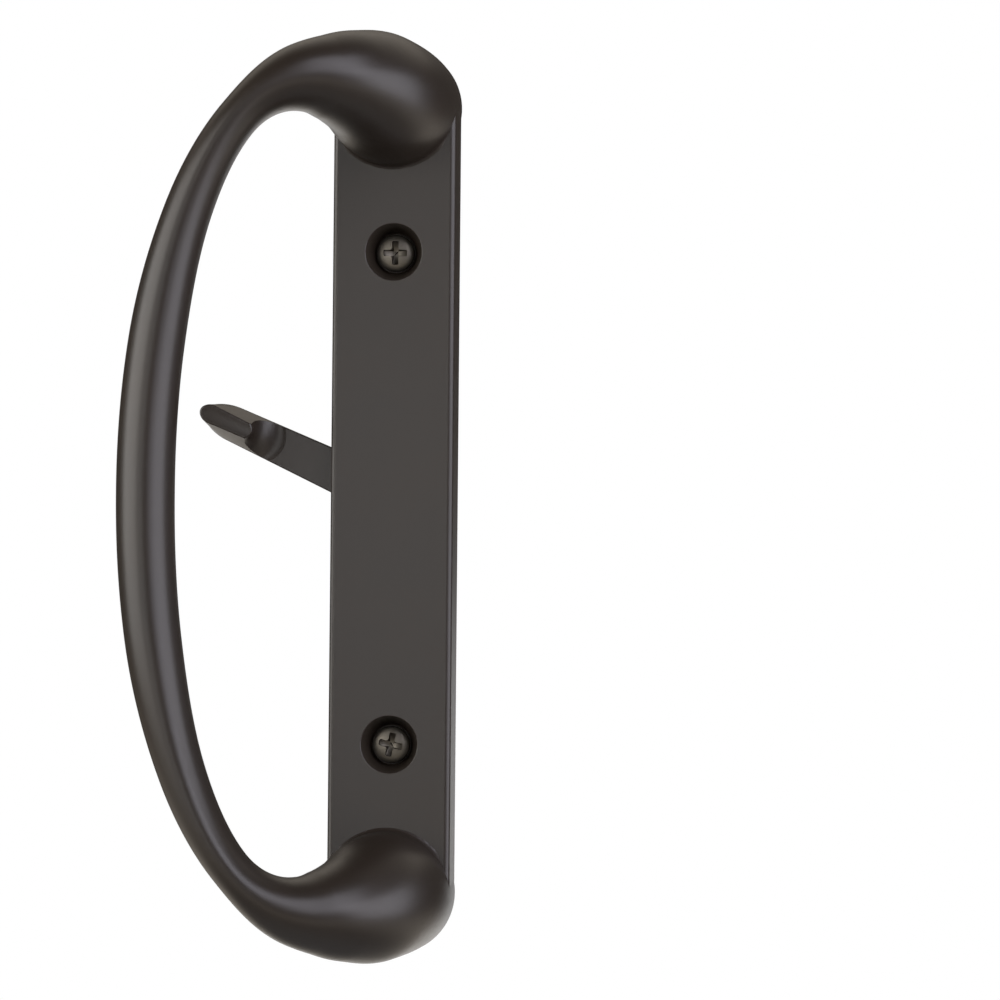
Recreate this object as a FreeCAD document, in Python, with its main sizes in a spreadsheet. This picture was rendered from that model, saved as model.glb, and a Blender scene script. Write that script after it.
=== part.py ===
import FreeCAD
import Part
import Sketcher
import math
import os
import re

# Inside handle of a sliding patio door, millimetres and degrees.
# The door face is the plane Y = 0, the handle stands out towards -Y, +Z is up along the plate,
# and the origin lies on the door face midway between the two mounting screws.

SIZES = {
    # base plate
    "plate_width": 25.0,
    "plate_depth": 10.0,
    "plate_edge_radius": 1.2,
    "side_wall": 2.5,
    "front_wall": 2.5,
    "foot_centre": 80.0,
    "cavity_corner_radius": 2.0,
    # mounting screws in their tapered counterbores
    "screw_spacing": 100.0,
    "screw_diameter": 4.1,
    "screw_neck_diameter": 3.5,
    "screw_length": 50.8,
    "screw_point": 1.0,
    "screw_head_diameter": 7.6,
    "screw_head_height": 2.5,
    "screw_head_edge": 1.1,
    "screw_hole_diameter": 4.8,
    "counterbore_diameter": 11.5,
    "counterbore_floor_diameter": 8.4,
    "counterbore_depth": 5.0,
    "screw_boss_wall": 1.8,
    # bow: path in the front view and standing off the door
    "grip_offset": 45.5,
    "grip_stand_off": 40.0,
    "bow_plan_squareness": 1.35,
    "bow_half_height": 83.5,
    "crown_offset": 12.2,
    "bow_squareness": 2.09,
    # bow: width in the front view and depth of each section
    "foot_diameter": 25.4,
    "base_diameter": 26.2,
    "bulb_diameter": 26.0,
    "shoulder_width": 20.2,
    "shoulder_depth": 22.8,
    "throat_width": 13.7,
    "throat_depth": 17.8,
    "neck_width": 8.2,
    "neck_depth": 14.8,
    "upper_grip_width": 9.4,
    "upper_grip_depth": 14.0,
    "near_grip_width": 11.2,
    "near_grip_depth": 14.6,
    "grip_width": 11.6,
    "grip_depth": 15.0,
    # cores that keep the feet from being solid
    "foot_wall": 3.0,
    "foot_core_depth": 14.0,
    "foot_core_draft": 1.4,
    # latch lever
    "lever_rest_angle": 24.5,
    "lever_length": 43.0,
    "lever_root_width": 9.2,
    "lever_tip_width": 7.2,
    "lever_tip_length": 7.0,
    "lever_nose_radius": 2.0,
    "lever_thickness": 3.0,
    "lever_face_depth": 3.5,
    "hub_diameter": 14.0,
    "stub_diameter": 7.0,
    "stub_length": 2.1,
    "collar_diameter": 9.0,
    "collar_length": 2.3,
    "pivot_clearance": 0.05,
    "stub_end_clearance": 0.3,
    "notch_clearance": 0.5,
    "thumb_height": 6.5,
    "thumb_inset": 0.1,
    "thumb_edge_radius": 0.4,
    "pad_inset": 0.25,
    "pad_root_width": 3.0,
    "pad_tip_width": 3.9,
    "pad_tip_length": 2.4,
    "pad_nose_radius": 1.5,
    "scoop_axis": 33.2,
    "scoop_nose": 2.0,
    "scoop_radius": 4.65,
    "scoop_dip": 0.35,
    # tailpiece
    "tail_width": 6.4,
    "tail_thickness": 1.6,
    "tail_reach": 38.0,
    "tail_engagement": 3.4,
    "tail_point": 1.5,
    "tail_clearance": 0.03,
    # spring washer
    "washer_outer_diameter": 13.0,
    "washer_inner_diameter": 7.8,
    "washer_thickness": 0.3,
    "washer_gap": 0.05,
    # retainer strip and its screws
    "retainer_width": 14.0,
    "retainer_thickness": 1.2,
    "retainer_gap": 0.1,
    "retainer_screw_spacing": 34.0,
    "retainer_end_margin": 4.6,
    "retainer_boss_diameter": 6.5,
    "retainer_screw_diameter": 2.9,
    "retainer_screw_length": 5.0,
    "retainer_screw_head_diameter": 5.2,
    "retainer_screw_head_height": 1.5,
    "retainer_screw_clearance": 0.05,
    "pilot_margin": 0.4,
}

doc = FreeCAD.newDocument("patio_door_handle")
sheet = doc.addObject("Spreadsheet::Sheet", "Sizes")
for row, (name, value) in enumerate(SIZES.items(), start=1):
    sheet.set("A%d" % row, name)
    sheet.set("B%d" % row, str(value))
    sheet.setAlias("B%d" % row, name)
doc.recompute()


# An expression is written with bare size names, and this puts the sheet's name before each.
def on_sheet(text):
    return re.sub("[a-z_]+", lambda word: "Sizes." + word[0] if word[0] in SIZES else word[0], text)


def number(text):
    value = sheet.evalExpression(on_sheet(text))
    return float(getattr(value, "Value", value))


def bind(item, prop, text):
    item.setExpression(prop, on_sheet(text))


def new_body(label):
    body = doc.addObject("PartDesign::Body", label)
    body.Label = label
    return body


def new_sketch(body, role, name, x="0", y="0", z="0"):
    plane = next(item for item in body.Origin.OriginFeatures if item.Role == role)
    sketch = body.newObject("Sketcher::SketchObject", name)
    sketch.AttachmentSupport = [(plane, "")]
    sketch.MapMode = "FlatFace"
    for axis, text in (("x", x), ("y", y), ("z", z)):
        if text != "0":
            bind(sketch, "AttachmentOffset.Base." + axis, text)
    return sketch


# Holds a point of the sketch at a place given from the sketch's origin.
def fix_point(sketch, geo, pos, x, y):
    for kind, axis, text in (("DistanceX", -2, x), ("DistanceY", -1, y)):
        if text == "0":
            sketch.addConstraint(Sketcher.Constraint("PointOnObject", geo, pos, axis))
        elif text is not None:
            index = sketch.addConstraint(Sketcher.Constraint(kind, -1, 1, geo, pos, number(text)))
            bind(sketch, "Constraints[%d]" % index, text)


def add_circle(sketch, diameter, x="0", y="0"):
    centre = FreeCAD.Vector(number(x), number(y), 0)
    circle = Part.Circle(centre, FreeCAD.Vector(0, 0, 1), number(diameter) / 2)
    geo = sketch.addGeometry(circle)
    fix_point(sketch, geo, 3, x, y)
    index = sketch.addConstraint(Sketcher.Constraint("Diameter", geo, number(diameter)))
    bind(sketch, "Constraints[%d]" % index, diameter)


# A closed outline through the points. For each segment that is an arc, arcs gives its centre,
# whether it runs anticlockwise, and which coordinate of the centre the sketch holds.
def add_outline(sketch, points, arcs=None):
    arcs = arcs or {}
    spots = [FreeCAD.Vector(number(x), number(y), 0) for x, y in points]
    ends = []
    for i, start in enumerate(spots):
        stop = spots[(i + 1) % len(spots)]
        if i not in arcs:
            ends.append((sketch.addGeometry(Part.LineSegment(start, stop)), 1, 2))
            continue
        x, y, anticlockwise, held = arcs[i]
        centre = FreeCAD.Vector(number(x), number(y), 0)
        first, last = (start, stop) if anticlockwise else (stop, start)
        angles = [math.atan2(p.y - centre.y, p.x - centre.x) for p in (first, last)]
        circle = Part.Circle(centre, FreeCAD.Vector(0, 0, 1), (start - centre).Length)
        geo = sketch.addGeometry(Part.ArcOfCircle(circle, angles[0], angles[1]))
        ends.append((geo, 1, 2) if anticlockwise else (geo, 2, 1))
    for i, (geo, first, last) in enumerate(ends):
        following = ends[(i + 1) % len(ends)]
        sketch.addConstraint(Sketcher.Constraint("Coincident", geo, last, following[0], following[1]))
        fix_point(sketch, geo, first, *points[i])
        if i in arcs:
            x, y, anticlockwise, held = arcs[i]
            fix_point(sketch, geo, 3, x if held == "x" else None, y if held == "y" else None)


def add_box(sketch, left, right, low, high):
    add_outline(sketch, [(left, low), (right, low), (right, high), (left, high)])


def extrude(body, kind, name, sketch, length, backwards=False):
    feature = body.newObject("PartDesign::" + kind, name)
    feature.Profile = sketch
    feature.Reversed = backwards
    bind(feature, "Length", length)
    return feature


def turn(body, kind, name, sketch, axis, angle=360, midplane=False):
    feature = body.newObject("PartDesign::" + kind, name)
    feature.Profile = sketch
    feature.ReferenceAxis = (sketch, [axis])
    feature.Angle = angle
    feature.Midplane = midplane
    return feature


def mirror(body, name, features):
    copy = body.newObject("PartDesign::Mirrored", name)
    copy.Originals = features
    plane = next(item for item in body.Origin.OriginFeatures if item.Role == "XY_Plane")
    copy.MirrorPlane = (plane, [""])
    body.Tip = copy
    return copy


def round_edges(body, name, base, radius, wanted):
    doc.recompute()
    feature = body.newObject("PartDesign::Fillet", name)
    names = ["Edge%d" % i for i, edge in enumerate(base.Shape.Edges, start=1) if wanted(edge)]
    feature.Base = (base, names)
    bind(feature, "Radius", radius)
    return feature


# The bow's centre line runs from a foot (share 0) to the middle of the grip (share 1).
# Seen from the end of the plate it stands straight up from the foot and bends over to the grip.
# Seen from the front it rises as a parabola from the foot to the crown, and goes on from there
# as a quarter of a rounded square's curve.
def bow_point(share):
    sweep = math.pi / 2 * share * (2 - share)
    offset, crown = number("grip_offset"), number("crown_offset")
    half, power = number("bow_half_height"), number("bow_squareness")
    x = -offset * (1 - math.cos(sweep)) ** number("bow_plan_squareness")
    y = -number("grip_stand_off") * math.sin(sweep)
    if x > -crown:
        z = half - (half - number("foot_centre")) * (1 + x / crown) ** 2
    else:
        reach = min(1.0, -(x + crown) / (offset - crown))
        z = half * (1 - reach ** power) ** (1 / power)
    return FreeCAD.Vector(x, y, z)


# Direction across the bow in the front view: up to the crown, then square to the curve.
def bow_across(share):
    point = bow_point(share)
    offset, crown = number("grip_offset"), number("crown_offset")
    half, power = number("bow_half_height"), number("bow_squareness")
    reach = max(0.0, -(point.x + crown) / (offset - crown))
    rise = max(0.0, 1 - min(1.0, reach) ** power) ** (1 / power)
    across = FreeCAD.Vector(-reach ** (power - 1) / (offset - crown), 0, rise ** (power - 1) / half)
    return across.normalize()


def bow_along(share):
    step = 0.002
    if share == 1.0:
        return FreeCAD.Vector(0, 0, -1)
    low = max(0.0, share - step)
    return (bow_point(low + 2 * step) - bow_point(low)).normalize()


def add_section(body, name, share, lower, width, depth):
    centre, across, along = bow_point(share), bow_across(share), bow_along(share)
    if share == 0.0:
        along = FreeCAD.Vector(0, -1, 0)
    outward = along.cross(across).normalize()
    if lower:
        centre.z, across.z, outward.z = -centre.z, -across.z, -outward.z
    normal = outward.cross(across)
    sketch = new_sketch(body, "XY_Plane", name)
    turned = FreeCAD.Rotation(outward, across, normal, "XYZ")
    sketch.AttachmentOffset = FreeCAD.Placement(centre, turned)
    if width == depth:
        add_circle(sketch, depth)
        return sketch
    sizes = number(depth) / 2, number(width) / 2
    geo = sketch.addGeometry(Part.Ellipse(FreeCAD.Vector(0, 0, 0), *sizes))
    sketch.exposeInternalGeometry(geo)
    sketch.addConstraint(Sketcher.Constraint("Coincident", geo, 3, -1, 1))
    sketch.addConstraint(Sketcher.Constraint("Horizontal", geo + 1))
    for line, text in ((geo + 1, depth), (geo + 2, width)):
        index = sketch.addConstraint(Sketcher.Constraint("Distance", line, number(text)))
        bind(sketch, "Constraints[%d]" % index, text)
    return sketch


# Sections of the bow and how far each lies from the foot to the middle of the grip.
SECTIONS = [
    ("foot", 0.0, "foot_diameter", "foot_diameter"),
    ("base", 0.085, "base_diameter", "base_diameter"),
    ("bulb", 0.15, "bulb_diameter", "bulb_diameter"),
    ("shoulder", 0.27, "shoulder_width", "shoulder_depth"),
    ("throat", 0.40, "throat_width", "throat_depth"),
    ("neck", 0.56, "neck_width", "neck_depth"),
    ("upper_grip", 0.71, "upper_grip_width", "upper_grip_depth"),
    ("near_grip", 0.86, "near_grip_width", "near_grip_depth"),
    ("grip", 1.0, "grip_width", "grip_depth"),
]

# Depths from the door face, towards the front.
CEILING = "plate_depth - front_wall"
COUNTERBORE_FLOOR = "plate_depth - counterbore_depth"
LEVER_FRONT = "lever_face_depth + lever_thickness"
COLLAR_END = "lever_face_depth - collar_length"
RETAINER_FRONT = "lever_face_depth - retainer_gap"
RETAINER_BACK = "lever_face_depth - retainer_gap - retainer_thickness"
# Lever: where its straight sides end, and how far its scoop reaches from the scoop's axis.
TIP_START = "lever_length - lever_tip_length"
SCOOP_REACH = "scoop_nose + scoop_radius + sqrt(2 * scoop_radius * scoop_dip - scoop_dip ^ 2)"


def less(text):
    return "-(%s)" % text


# Both ends full round, straight sides between.
def add_stadium(sketch, width, end):
    half = "(%s) / 2" % width
    points = [(half, less(end)), (half, end), (less(half), end), (less(half), less(end))]
    add_outline(sketch, points, {1: ("0", end, True, "y"), 3: ("0", less(end), True, "y")})


def add_round_box(sketch, right, top, radius):
    x, y = "%s - %s" % (right, radius), "%s - %s" % (top, radius)
    points = [
        (x, less(top)), (right, less(y)), (right, y), (x, top),
        (less(x), top), (less(right), y), (less(right), less(y)), (less(x), less(top)),
    ]
    arcs = {0: (x, less(y)), 2: (x, y), 4: (less(x), y), 6: (less(x), less(y))}
    add_outline(sketch, points, {i: (cx, cy, True, "x") for i, (cx, cy) in arcs.items()})


# Two circles, one above and one below the middle.
def add_pair(sketch, diameter, spacing):
    add_circle(sketch, diameter, "0", "%s / 2" % spacing)
    add_circle(sketch, diameter, "0", "-%s / 2" % spacing)


# A bar along -X with a pointed end: straight sides, then an arc on each side that runs into the
# arc of the nose. The arcs' radius follows from the point's length, half width and nose radius.
def add_pointed_bar(sketch, start, wide, end, half, length, nose):
    squares = "(%s - (%s)) ^ 2 + (%s) ^ 2 - (%s) ^ 2" % (length, nose, half, nose)
    side = "(%s) / 2 / (%s - (%s))" % (squares, half, nose)
    bend = less("%s - (%s)" % (end, length))
    centre = "%s - (%s)" % (half, side)
    meet_x = "%s - (%s) * (%s - (%s)) / (%s - (%s))" % (bend, side, length, nose, side, nose)
    meet_y = "-(%s) * (%s) / (%s - (%s))" % (centre, nose, side, nose)
    add_outline(sketch, [
        (less(start), wide), (bend, half), (meet_x, meet_y),
        (meet_x, less(meet_y)), (bend, less(half)), (less(start), less(wide)),
    ], {
        1: (bend, centre, True, "x"),
        2: (less("%s - (%s)" % (end, nose)), "0", True, "x"),
        3: (bend, less(centre), True, "x"),
    })


def make_pull_handle():
    body = new_body("pull_handle")
    outline = new_sketch(body, "XZ_Plane", "plate_outline")
    add_stadium(outline, "plate_width", "foot_centre")
    plate = extrude(body, "Pad", "plate", outline, "plate_depth")
    doc.recompute()
    front = -number("plate_depth")
    round_edges(
        body, "plate_edge", plate, "plate_edge_radius",
        lambda edge: all(abs(vertex.Y - front) < 1e-6 for vertex in edge.Vertexes),
    )

    cavity = new_sketch(body, "XZ_Plane", "cavity_outline")
    inside = "plate_width / 2 - side_wall", "foot_centre - plate_width / 2"
    add_round_box(cavity, inside[0], inside[1], "cavity_corner_radius")
    extrude(body, "Pocket", "cavity", cavity, CEILING, True)

    bosses = new_sketch(body, "XZ_Plane", "screw_boss_outline")
    add_pair(bosses, "counterbore_diameter + 2 * screw_boss_wall", "screw_spacing")
    extrude(body, "Pad", "screw_bosses", bosses, "plate_depth - front_wall / 2")

    posts = new_sketch(body, "XZ_Plane", "retainer_boss_outline", z=RETAINER_FRONT)
    add_pair(posts, "retainer_boss_diameter", "retainer_screw_spacing")
    extrude(body, "Pad", "retainer_bosses", posts, "plate_depth - front_wall / 2 - (%s)" % RETAINER_FRONT)

    upper = [add_section(body, "upper_" + n, share, False, w, d) for n, share, w, d in SECTIONS]
    lower = [add_section(body, "lower_" + n, share, True, w, d) for n, share, w, d in SECTIONS[:-1]]
    sections = upper + lower[::-1]
    bow = body.newObject("PartDesign::AdditiveLoft", "bow")
    bow.Profile = sections[0]
    bow.Sections = sections[1:]
    doc.recompute()

    hole = new_sketch(body, "YZ_Plane", "screw_hole_profile", y="screw_spacing / 2")
    add_outline(hole, [
        ("0", "0"),
        ("0", "screw_hole_diameter / 2"),
        (less(COUNTERBORE_FLOOR), "screw_hole_diameter / 2"),
        (less(COUNTERBORE_FLOOR), "counterbore_floor_diameter / 2"),
        ("-plate_depth", "counterbore_diameter / 2"),
        ("-plate_depth", "0"),
    ])
    screw_hole = turn(body, "Groove", "screw_hole", hole, "H_Axis")

    core = new_sketch(body, "YZ_Plane", "foot_core_profile", y="foot_centre")
    add_outline(core, [
        ("0", "0"),
        ("0", "plate_width / 2 - foot_wall"),
        ("-foot_core_depth", "plate_width / 2 - foot_wall - foot_core_draft"),
        ("-foot_core_depth", "0"),
    ])
    foot_core = turn(body, "Groove", "foot_core", core, "H_Axis")
    doc.recompute()
    mirror(body, "lower_hole_and_core", [screw_hole, foot_core])

    notch = new_sketch(body, "XZ_Plane", "lever_notch_outline")
    reach = (
        "plate_width / 2 * tan(lever_rest_angle)"
        " + lever_root_width / 2 / cos(lever_rest_angle) + notch_clearance"
    )
    add_box(notch, "-plate_width", "-plate_width / 2 + side_wall", less(reach), reach)
    extrude(body, "Pocket", "lever_notch", notch, LEVER_FRONT + " + notch_clearance", True)

    bore = new_sketch(body, "XZ_Plane", "pivot_bore_outline", z=CEILING)
    add_circle(bore, "stub_diameter + 2 * pivot_clearance")
    depth = "%s + stub_length + stub_end_clearance - (%s)" % (LEVER_FRONT, CEILING)
    extrude(body, "Pocket", "pivot_bore", bore, depth, True)

    pilots = new_sketch(body, "XZ_Plane", "pilot_hole_outline", z=RETAINER_FRONT)
    add_pair(pilots, "retainer_screw_diameter + 2 * retainer_screw_clearance", "retainer_screw_spacing")
    depth = "retainer_screw_length - retainer_thickness + pilot_margin"
    extrude(body, "Pocket", "pilot_holes", pilots, depth, True)
    return body


# The lever is drawn pointing along -X and then turned up to its rest angle about the pivot.
def make_latch_lever():
    body = new_body("latch_lever")
    bar = new_sketch(body, "XZ_Plane", "bar_outline", z="lever_face_depth")
    add_pointed_bar(
        bar, "0", "lever_root_width / 2", "lever_length",
        "lever_tip_width / 2", "lever_tip_length", "lever_nose_radius",
    )
    extrude(body, "Pad", "bar", bar, "lever_thickness")

    hub = new_sketch(body, "XZ_Plane", "hub_outline", z="lever_face_depth")
    add_circle(hub, "hub_diameter")
    extrude(body, "Pad", "hub", hub, "lever_thickness")

    stub = new_sketch(body, "XZ_Plane", "stub_outline", z=LEVER_FRONT)
    add_circle(stub, "stub_diameter")
    extrude(body, "Pad", "stub", stub, "stub_length")

    collar = new_sketch(body, "XZ_Plane", "collar_outline", z="lever_face_depth")
    add_circle(collar, "collar_diameter")
    extrude(body, "Pad", "collar", collar, "collar_length", True)

    thumb = new_sketch(body, "XZ_Plane", "thumb_outline", z=LEVER_FRONT)
    start = "scoop_axis - (%s)" % SCOOP_REACH
    taper = "(lever_root_width - lever_tip_width) / 2 / (%s) * (%s)" % (TIP_START, start)
    add_pointed_bar(
        thumb, start, "lever_root_width / 2 - %s - thumb_inset" % taper, "lever_length - thumb_inset",
        "lever_tip_width / 2 - thumb_inset", "lever_tip_length - thumb_inset",
        "lever_nose_radius - thumb_inset",
    )
    pad = new_sketch(body, "XZ_Plane", "pad_outline", z=LEVER_FRONT + " + thumb_height")
    add_pointed_bar(
        pad, start, "pad_root_width / 2", "lever_length - pad_inset",
        "pad_tip_width / 2", "pad_tip_length", "pad_nose_radius",
    )
    block = body.newObject("PartDesign::AdditiveLoft", "thumb_block")
    block.Profile = thumb
    block.Sections = [pad]
    block.Ruled = True
    doc.recompute()

    scoop = new_sketch(body, "XY_Plane", "scoop_profile", x="-scoop_axis")
    above = "-(%s + 2 * thumb_height)" % LEVER_FRONT
    low = "%s - scoop_dip + scoop_radius" % LEVER_FRONT
    add_outline(scoop, [
        (SCOOP_REACH, less(LEVER_FRONT)),
        ("scoop_axis", less(LEVER_FRONT)),
        ("scoop_axis", above),
        ("scoop_nose", above),
        ("scoop_nose", less(low)),
    ], {4: ("scoop_nose + scoop_radius", less(low), False, "x")})
    scooped = turn(body, "Groove", "scoop", scoop, "V_Axis", 180, True)
    doc.recompute()
    top, behind = -number(LEVER_FRONT + " + thumb_height"), -number("scoop_axis")
    round_edges(
        body, "thumb_edge", scooped, "thumb_edge_radius",
        lambda edge: all(abs(vertex.Y - top) < 1e-6 for vertex in edge.Vertexes)
        and edge.BoundBox.XMin < behind,
    )

    slot = new_sketch(body, "XZ_Plane", "tail_slot_outline", z=COLLAR_END)
    side, end = "tail_thickness / 2 + tail_clearance", "tail_width / 2 + tail_clearance"
    add_box(slot, less(side), side, less(end), end)
    extrude(body, "Pocket", "tail_slot", slot, "tail_engagement", True)
    body.Placement = LEVER_PLACE
    return body


def make_tailpiece():
    body = new_body("tailpiece")
    blade = new_sketch(body, "YZ_Plane", "blade_outline", z="-tail_thickness / 2")
    start = less("%s + tail_engagement - tail_clearance" % COLLAR_END)
    half = "tail_width / 2"
    add_outline(blade, [
        (start, less(half)),
        ("tail_reach - tail_point", less(half)),
        ("tail_reach", "-tail_width / 2 + tail_point"),
        ("tail_reach", "tail_width / 2 - tail_point"),
        ("tail_reach - tail_point", half),
        (start, half),
    ])
    extrude(body, "Pad", "blade", blade, "tail_thickness")
    body.Placement = LEVER_PLACE
    return body


# A flat ring bent about one axis, so that it presses the hub away from the plate's ceiling.
def make_spring_washer():
    body = new_body("spring_washer")
    half = "washer_outer_diameter / 2"
    low = LEVER_FRONT + " + washer_gap"
    rise = "%s - (%s) - 2 * washer_gap - washer_thickness" % (CEILING, LEVER_FRONT)
    bend = "((%s) ^ 2 + (%s) ^ 2) / 2 / (%s)" % (half, rise, rise)
    centre = "%s + %s - (%s)" % (low, rise, bend)
    band = new_sketch(body, "XY_Plane", "washer_band", z=less(half))
    add_outline(band, [
        (half, less(low)),
        (half, less(low + " + washer_thickness")),
        (less(half), less(low + " + washer_thickness")),
        (less(half), less(low)),
    ], {
        1: ("0", less(centre + " + washer_thickness"), False, "y"),
        3: ("0", less(centre), True, "y"),
    })
    extrude(body, "Pad", "band", band, "washer_outer_diameter")
    ring = new_sketch(body, "XZ_Plane", "washer_ring")
    add_box(ring, "-washer_outer_diameter", "washer_outer_diameter",
            "-washer_outer_diameter", "washer_outer_diameter")
    add_circle(ring, "washer_outer_diameter")
    add_circle(ring, "washer_inner_diameter")
    extrude(body, "Pocket", "ring", ring, "plate_depth", True)
    return body


def make_retainer_plate():
    body = new_body("retainer_plate")
    strip = new_sketch(body, "XZ_Plane", "strip_outline", z=RETAINER_BACK)
    end = "retainer_screw_spacing / 2 + retainer_end_margin - retainer_width / 2"
    add_stadium(strip, "retainer_width", end)
    add_circle(strip, "collar_diameter + 2 * pivot_clearance")
    add_pair(strip, "retainer_screw_diameter + 2 * retainer_screw_clearance", "retainer_screw_spacing")
    extrude(body, "Pad", "strip", strip, "retainer_thickness")
    return body


def make_retainer_screws():
    body = new_body("retainer_screws")
    profile = new_sketch(body, "YZ_Plane", "retainer_screw_profile", y="retainer_screw_spacing / 2")
    top = "%s - retainer_screw_head_height" % RETAINER_BACK
    rim = "%s - retainer_screw_head_height / 2" % RETAINER_BACK
    end = "%s + retainer_screw_length" % RETAINER_BACK
    head, shank = "retainer_screw_head_diameter / 2", "retainer_screw_diameter / 2"
    add_outline(profile, [
        (less(top), "0"),
        (less(top), head + " * 0.6"),
        (less(rim), head),
        (less(RETAINER_BACK), head),
        (less(RETAINER_BACK), shank),
        (less(end), shank),
        (less(end), "0"),
    ])
    screw = turn(body, "Revolution", "retainer_screw", profile, "H_Axis")
    doc.recompute()
    mirror(body, "retainer_screw_pair", [screw])
    return body


# The thread runs out at the door face, so the neck in the casting is thinner than the thread.
def make_mounting_screws():
    body = new_body("mounting_screws")
    profile = new_sketch(body, "YZ_Plane", "mounting_screw_profile", y="screw_spacing / 2")
    top = COUNTERBORE_FLOOR + " + screw_head_height"
    rim = COUNTERBORE_FLOOR + " + screw_head_edge"
    dome = "screw_head_height - screw_head_edge"
    radius = "((screw_head_diameter / 2) ^ 2 + (%s) ^ 2) / 2 / (%s)" % (dome, dome)
    end = "screw_length - (%s)" % COUNTERBORE_FLOOR
    head, shank = "screw_head_diameter / 2", "screw_diameter / 2"
    add_outline(profile, [
        (less(top), "0"),
        (less(rim), head),
        (less(COUNTERBORE_FLOOR), head),
        (less(COUNTERBORE_FLOOR), "screw_neck_diameter / 2"),
        ("0", "screw_neck_diameter / 2"),
        ("0", shank),
        (end + " - screw_point", shank),
        (end, shank + " - screw_point / 2"),
        (end, "0"),
    ], {0: (less(top + " - " + radius), "0", False, "y")})
    screw = turn(body, "Revolution", "mounting_screw", profile, "H_Axis")
    doc.recompute()
    mirror(body, "mounting_screw_pair", [screw])
    return body


LEVER_PLACE = FreeCAD.Placement(
    FreeCAD.Vector(0, 0, 0), FreeCAD.Rotation(FreeCAD.Vector(0, 1, 0), number("lever_rest_angle"))
)

pieces = [
    make_pull_handle(),
    make_latch_lever(),
    make_tailpiece(),
    make_spring_washer(),
    make_retainer_plate(),
    make_retainer_screws(),
    make_mounting_screws(),
]
doc.recompute()

failed = [item.Name for item in doc.Objects if "Invalid" in item.State or "Error" in item.State]
if failed:
    raise RuntimeError("these did not build: %s" % failed)
for piece in pieces:
    if piece.Shape.isNull() or not piece.Shape.isValid():
        raise RuntimeError("%s has no valid shape" % piece.Label)

os.makedirs("parts", exist_ok=True)
for piece in pieces:
    piece.Shape.exportStep("parts/%s.step" % piece.Label)
    print(piece.Label, len(piece.Shape.Solids), "solids", round(piece.Shape.Volume, 1), "mm3")
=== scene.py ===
import bmesh
import bpy
import numpy as np
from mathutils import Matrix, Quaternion, Vector


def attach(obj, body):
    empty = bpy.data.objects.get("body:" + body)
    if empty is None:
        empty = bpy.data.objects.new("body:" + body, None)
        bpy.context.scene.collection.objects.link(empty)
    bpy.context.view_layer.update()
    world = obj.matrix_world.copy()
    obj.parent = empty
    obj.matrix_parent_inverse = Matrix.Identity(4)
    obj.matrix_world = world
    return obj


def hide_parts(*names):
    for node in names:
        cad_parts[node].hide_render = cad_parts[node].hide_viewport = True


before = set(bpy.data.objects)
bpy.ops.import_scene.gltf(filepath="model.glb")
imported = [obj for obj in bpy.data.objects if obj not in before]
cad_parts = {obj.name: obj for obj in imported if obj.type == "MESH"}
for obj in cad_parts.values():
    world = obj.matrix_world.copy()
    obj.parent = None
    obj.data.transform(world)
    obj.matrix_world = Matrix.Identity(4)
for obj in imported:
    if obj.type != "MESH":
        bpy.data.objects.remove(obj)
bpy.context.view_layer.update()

# Inside pull of a sliding patio door with its latch lever, drawn in millimetres:
# x to the right, z up the door, and height off the door face is -y.
mm = 0.001
print("frame loaded:", ", ".join(sorted(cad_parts)))


# Grid of points (rows, columns) to quads: each cell takes its four corners, and the last
# column joins the first, so that every row is a ring.
def ringFaces(rows, columns):
    row = np.arange(rows - 1)[:, None] * columns
    here = np.arange(columns)[None, :]
    after = (here + 1) % columns
    cells = [row + here, row + after, row + columns + after, row + columns + here]
    return np.stack(cells, axis=-1).reshape(-1, 4)


# A closed shell from rings of points in millimetres, with a flat cap on the first and last ring.
# Rings that shrink to a point are merged, and all faces turn outwards.
def makeShell(name, points, capped=True):
    rows, columns = points.shape[:2]
    faces = ringFaces(rows, columns).tolist()
    if capped:
        faces += [list(range(columns)), list(range((rows - 1) * columns, rows * columns))]
    mesh = bpy.data.meshes.new(name)
    mesh.from_pydata((points.reshape(-1, 3) * mm).tolist(), [], faces)
    work = bmesh.new()
    work.from_mesh(mesh)
    bmesh.ops.remove_doubles(work, verts=work.verts, dist=1e-7)
    bmesh.ops.recalc_face_normals(work, faces=work.faces)
    work.to_mesh(mesh)
    work.free()
    piece = bpy.data.objects.new(name, mesh)
    bpy.context.scene.collection.objects.link(piece)
    return piece


# Joins a tool to a piece or cuts it out, and drops the tool.
def combine(piece, tool, operation):
    change = piece.modifiers.new(operation, "BOOLEAN")
    change.operation, change.object, change.solver = operation, tool, "MANIFOLD"
    graph = bpy.context.evaluated_depsgraph_get()
    made = bpy.data.meshes.new_from_object(piece.evaluated_get(graph))
    piece.modifiers.clear()
    piece.data = made
    bpy.data.objects.remove(tool)


# Smooth faces with hard edges kept past the angle, and normals that favour the larger faces.
def finishPiece(piece, name, body, node, material, sharpAngle=32):
    piece.name = piece.data.name = name
    mesh = piece.data
    mesh.polygons.foreach_set("use_smooth", np.ones(len(mesh.polygons), bool))
    mesh.set_sharp_from_angle(angle=np.radians(sharpAngle))
    normals = piece.modifiers.new("faceNormals", "WEIGHTED_NORMAL")
    normals.keep_sharp = True
    mesh.materials.clear()
    mesh.materials.append(material)
    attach(piece, body)
    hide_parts(node)
    print("made", name, len(mesh.polygons), "faces")
    return piece


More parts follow.
